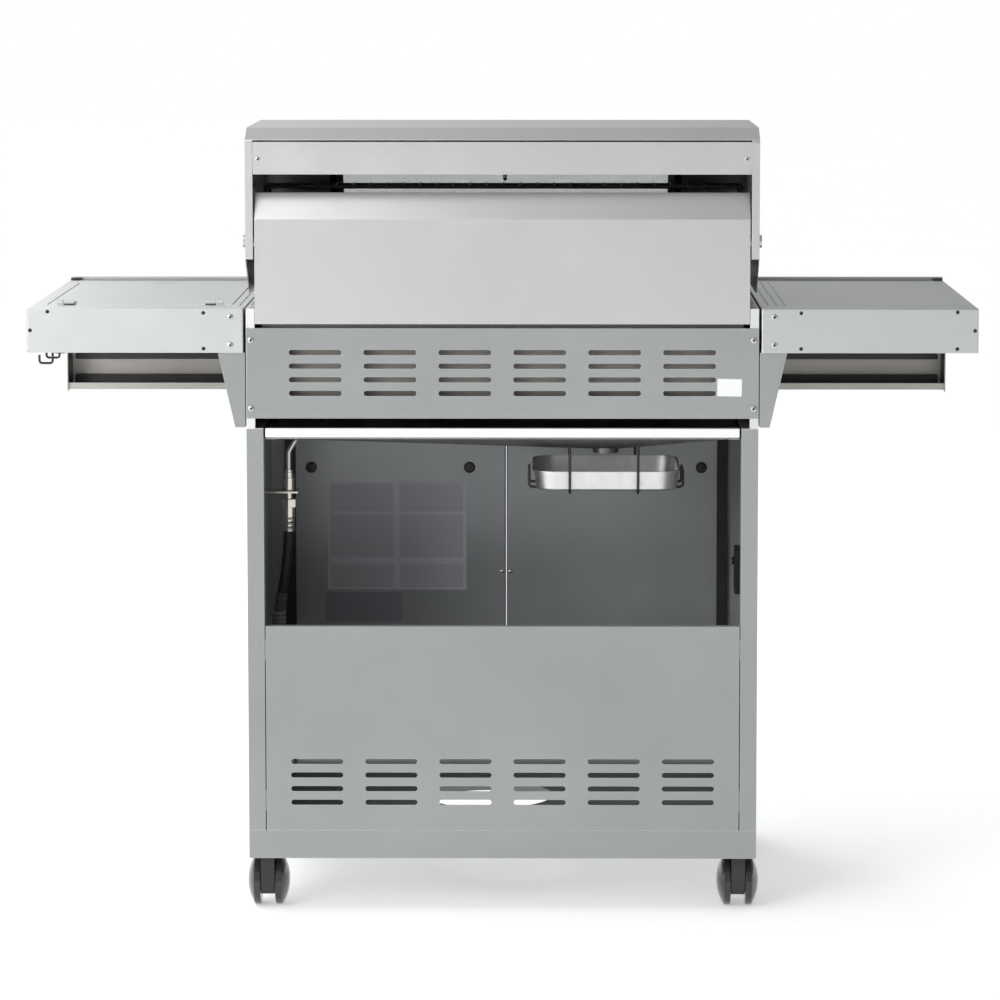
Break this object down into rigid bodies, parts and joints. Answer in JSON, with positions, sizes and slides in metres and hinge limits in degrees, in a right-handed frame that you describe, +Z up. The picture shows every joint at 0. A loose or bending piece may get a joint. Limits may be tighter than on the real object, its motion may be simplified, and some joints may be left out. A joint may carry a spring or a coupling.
{
  "type": "gas barbecue grill",
  "caption": "Free-standing gas barbecue grill: hinged hood over a firebox, control panel with knobs, two side shelves, a side burner and a two-door cart on twin-wheel casters.",
  "frame": {"origin": "on the floor under the middle of the grill", "axes": "+X to the right as seen from the front, +Y to the rear, +Z up"},
  "size_m": [1.354, 0.57, 1.132],
  "materials": {
    "painted_steel": "satin grey powder coat",
    "stainless": "brushed",
    "polished_steel": "polished",
    "enamel": "gloss porcelain enamel",
    "cast_iron": "matt",
    "black_wire": "semi-gloss",
    "brass": "machined",
    "gas_tube": "drawn tube",
    "hose_rubber": "matt ribbed",
    "regulator_metal": "grey paint",
    "foil": "foil",
    "glass": "clear",
    "needle": "satin",
    "black_plastic": "satin",
    "wheel_plastic": "gloss"
  },
  "bodies": {
    "root": {"base_shelf": "painted_steel", "side_panel_left": "painted_steel", "side_panel_right": "painted_steel", "rear_lower_panel": "painted_steel", "front_top_rail": "painted_steel", "head_frame_left": "painted_steel", "head_frame_right": "painted_steel", "rear_vent_panel": "painted_steel", "shelf_brackets": "painted_steel", "firebox_tub": "stainless", "firebox_rear_panel": "stainless", "control_panel": "stainless", "fascia_left": "stainless", "fascia_right": "stainless", "shelf_left": "stainless", "shelf_right": "stainless", "burner_tubes": "stainless", "heat_tents": "stainless", "side_burner": "stainless", "body_fasteners": "polished_steel", "cooking_grates": "cast_iron", "side_burner_grate": "cast_iron", "tool_hooks": "black_wire", "warming_rack": "black_wire", "gas_manifold": "brass", "gas_inlet_fitting": "brass", "side_burner_gas_tube": "brass", "gas_supply_tube": "gas_tube", "gas_hose": "hose_rubber", "regulator": "regulator_metal", "igniter_module": "black_plastic", "door_magnets": "black_plastic"},
    "lid": {"lid_shell": "stainless", "lid_rear_panel": "stainless", "window_frame": "enamel", "window_glass": "glass", "lid_handle": "polished_steel", "thermometer_case": "polished_steel"},
    "needle": {"thermometer_needle": "needle"},
    "burner_cover": {"side_burner_lid": "stainless"},
    "left_door": {"door_left": "stainless", "door_handle_left": "polished_steel"},
    "right_door": {"door_right": "stainless", "door_handle_right": "polished_steel"},
    "tray": {"grease_tray": "stainless", "cup_hanger": "black_wire"},
    "cup": {"grease_cup": "foil"},
    "knob_1": {"knob_1": "black_plastic"},
    "knob_2": {"knob_2": "black_plastic"},
    "knob_3": {"knob_3": "black_plastic"},
    "knob_4": {"knob_4": "black_plastic"},
    "knob_5": {"knob_5": "black_plastic"},
    "caster_rear_left": {"caster_body_rear_left": "black_plastic"},
    "wheels_rear_left": {"caster_wheels_rear_left": "wheel_plastic"},
    "caster_rear_right": {"caster_body_rear_right": "black_plastic"},
    "wheels_rear_right": {"caster_wheels_rear_right": "wheel_plastic"},
    "caster_front_left": {"caster_body_front_left": "black_plastic"},
    "wheels_front_left": {"caster_wheels_front_left": "wheel_plastic"},
    "caster_front_right": {"caster_body_front_right": "black_plastic"},
    "wheels_front_right": {"caster_wheels_front_right": "wheel_plastic"}
  },
  "joints": [
    {"name": "lid_hinge", "type": "hinge", "parent": "root", "child": "lid", "pos_m": [0, 0.263, 0.971], "axis": [-1, 0, 0], "range_deg": [0, 80]},
    {"name": "thermometer_needle_turn", "type": "hinge", "parent": "lid", "child": "needle", "pos_m": [0, -0.1012, 1.08334], "axis": [0, 0.7364, -0.6765], "range_deg": [0, 270]},
    {"name": "side_burner_lid_hinge", "type": "hinge", "parent": "root", "child": "burner_cover", "pos_m": [0.522, 0.219, 0.8795], "axis": [-1, 0, 0], "range_deg": [0, 100]},
    {"name": "left_door_hinge", "type": "hinge", "parent": "root", "child": "left_door", "pos_m": [-0.3315, -0.221, 0.41], "axis": [0, 0, -1], "range_deg": [0, 105]},
    {"name": "right_door_hinge", "type": "hinge", "parent": "root", "child": "right_door", "pos_m": [0.3315, -0.221, 0.41], "axis": [0, 0, 1], "range_deg": [0, 105]},
    {"name": "grease_tray_slide", "type": "slide", "parent": "root", "child": "tray", "axis": [0, 1, 0], "range_m": [0, 0.4]},
    {"name": "cup_lift", "type": "slide", "parent": "tray", "child": "cup", "axis": [0, 0, 1], "range_m": [0, 0.025]},
    {"name": "knob_1_turn", "type": "hinge", "parent": "root", "child": "knob_1", "pos_m": [-0.24, -0.25, 0.795], "axis": [0, 1, 0], "range_deg": [-180, 0]},
    {"name": "knob_2_turn", "type": "hinge", "parent": "root", "child": "knob_2", "pos_m": [-0.08, -0.25, 0.795], "axis": [0, 1, 0], "range_deg": [-180, 0]},
    {"name": "knob_3_turn", "type": "hinge", "parent": "root", "child": "knob_3", "pos_m": [0.08, -0.25, 0.795], "axis": [0, 1, 0], "range_deg": [-180, 0]},
    {"name": "knob_4_turn", "type": "hinge", "parent": "root", "child": "knob_4", "pos_m": [0.24, -0.25, 0.795], "axis": [0, 1, 0], "range_deg": [-180, 0]},
    {"name": "knob_5_turn", "type": "hinge", "parent": "root", "child": "knob_5", "pos_m": [0.522, -0.25, 0.795], "axis": [0, 1, 0], "range_deg": [-180, 0]},
    {"name": "swivel_rear_left", "type": "hinge", "parent": "root", "child": "caster_rear_left", "pos_m": [-0.341, 0.244, 0.1], "axis": [0, 0, 1], "continuous": true},
    {"name": "swivel_rear_right", "type": "hinge", "parent": "root", "child": "caster_rear_right", "pos_m": [0.341, 0.244, 0.1], "axis": [0, 0, 1], "continuous": true},
    {"name": "swivel_front_left", "type": "hinge", "parent": "root", "child": "caster_front_left", "pos_m": [-0.341, -0.187, 0.1], "axis": [0, 0, 1], "continuous": true},
    {"name": "swivel_front_right", "type": "hinge", "parent": "root", "child": "caster_front_right", "pos_m": [0.341, -0.187, 0.1], "axis": [0, 0, 1], "continuous": true},
    {"name": "roll_rear_left", "type": "hinge", "parent": "caster_rear_left", "child": "wheels_rear_left", "pos_m": [-0.341, 0.222, 0.037], "axis": [1, 0, 0], "continuous": true},
    {"name": "roll_rear_right", "type": "hinge", "parent": "caster_rear_right", "child": "wheels_rear_right", "pos_m": [0.341, 0.222, 0.037], "axis": [1, 0, 0], "continuous": true},
    {"name": "roll_front_left", "type": "hinge", "parent": "caster_front_left", "child": "wheels_front_left", "pos_m": [-0.341, -0.209, 0.037], "axis": [1, 0, 0], "continuous": true},
    {"name": "roll_front_right", "type": "hinge", "parent": "caster_front_right", "child": "wheels_front_right", "pos_m": [0.341, -0.209, 0.037], "axis": [1, 0, 0], "continuous": true}
  ]
}
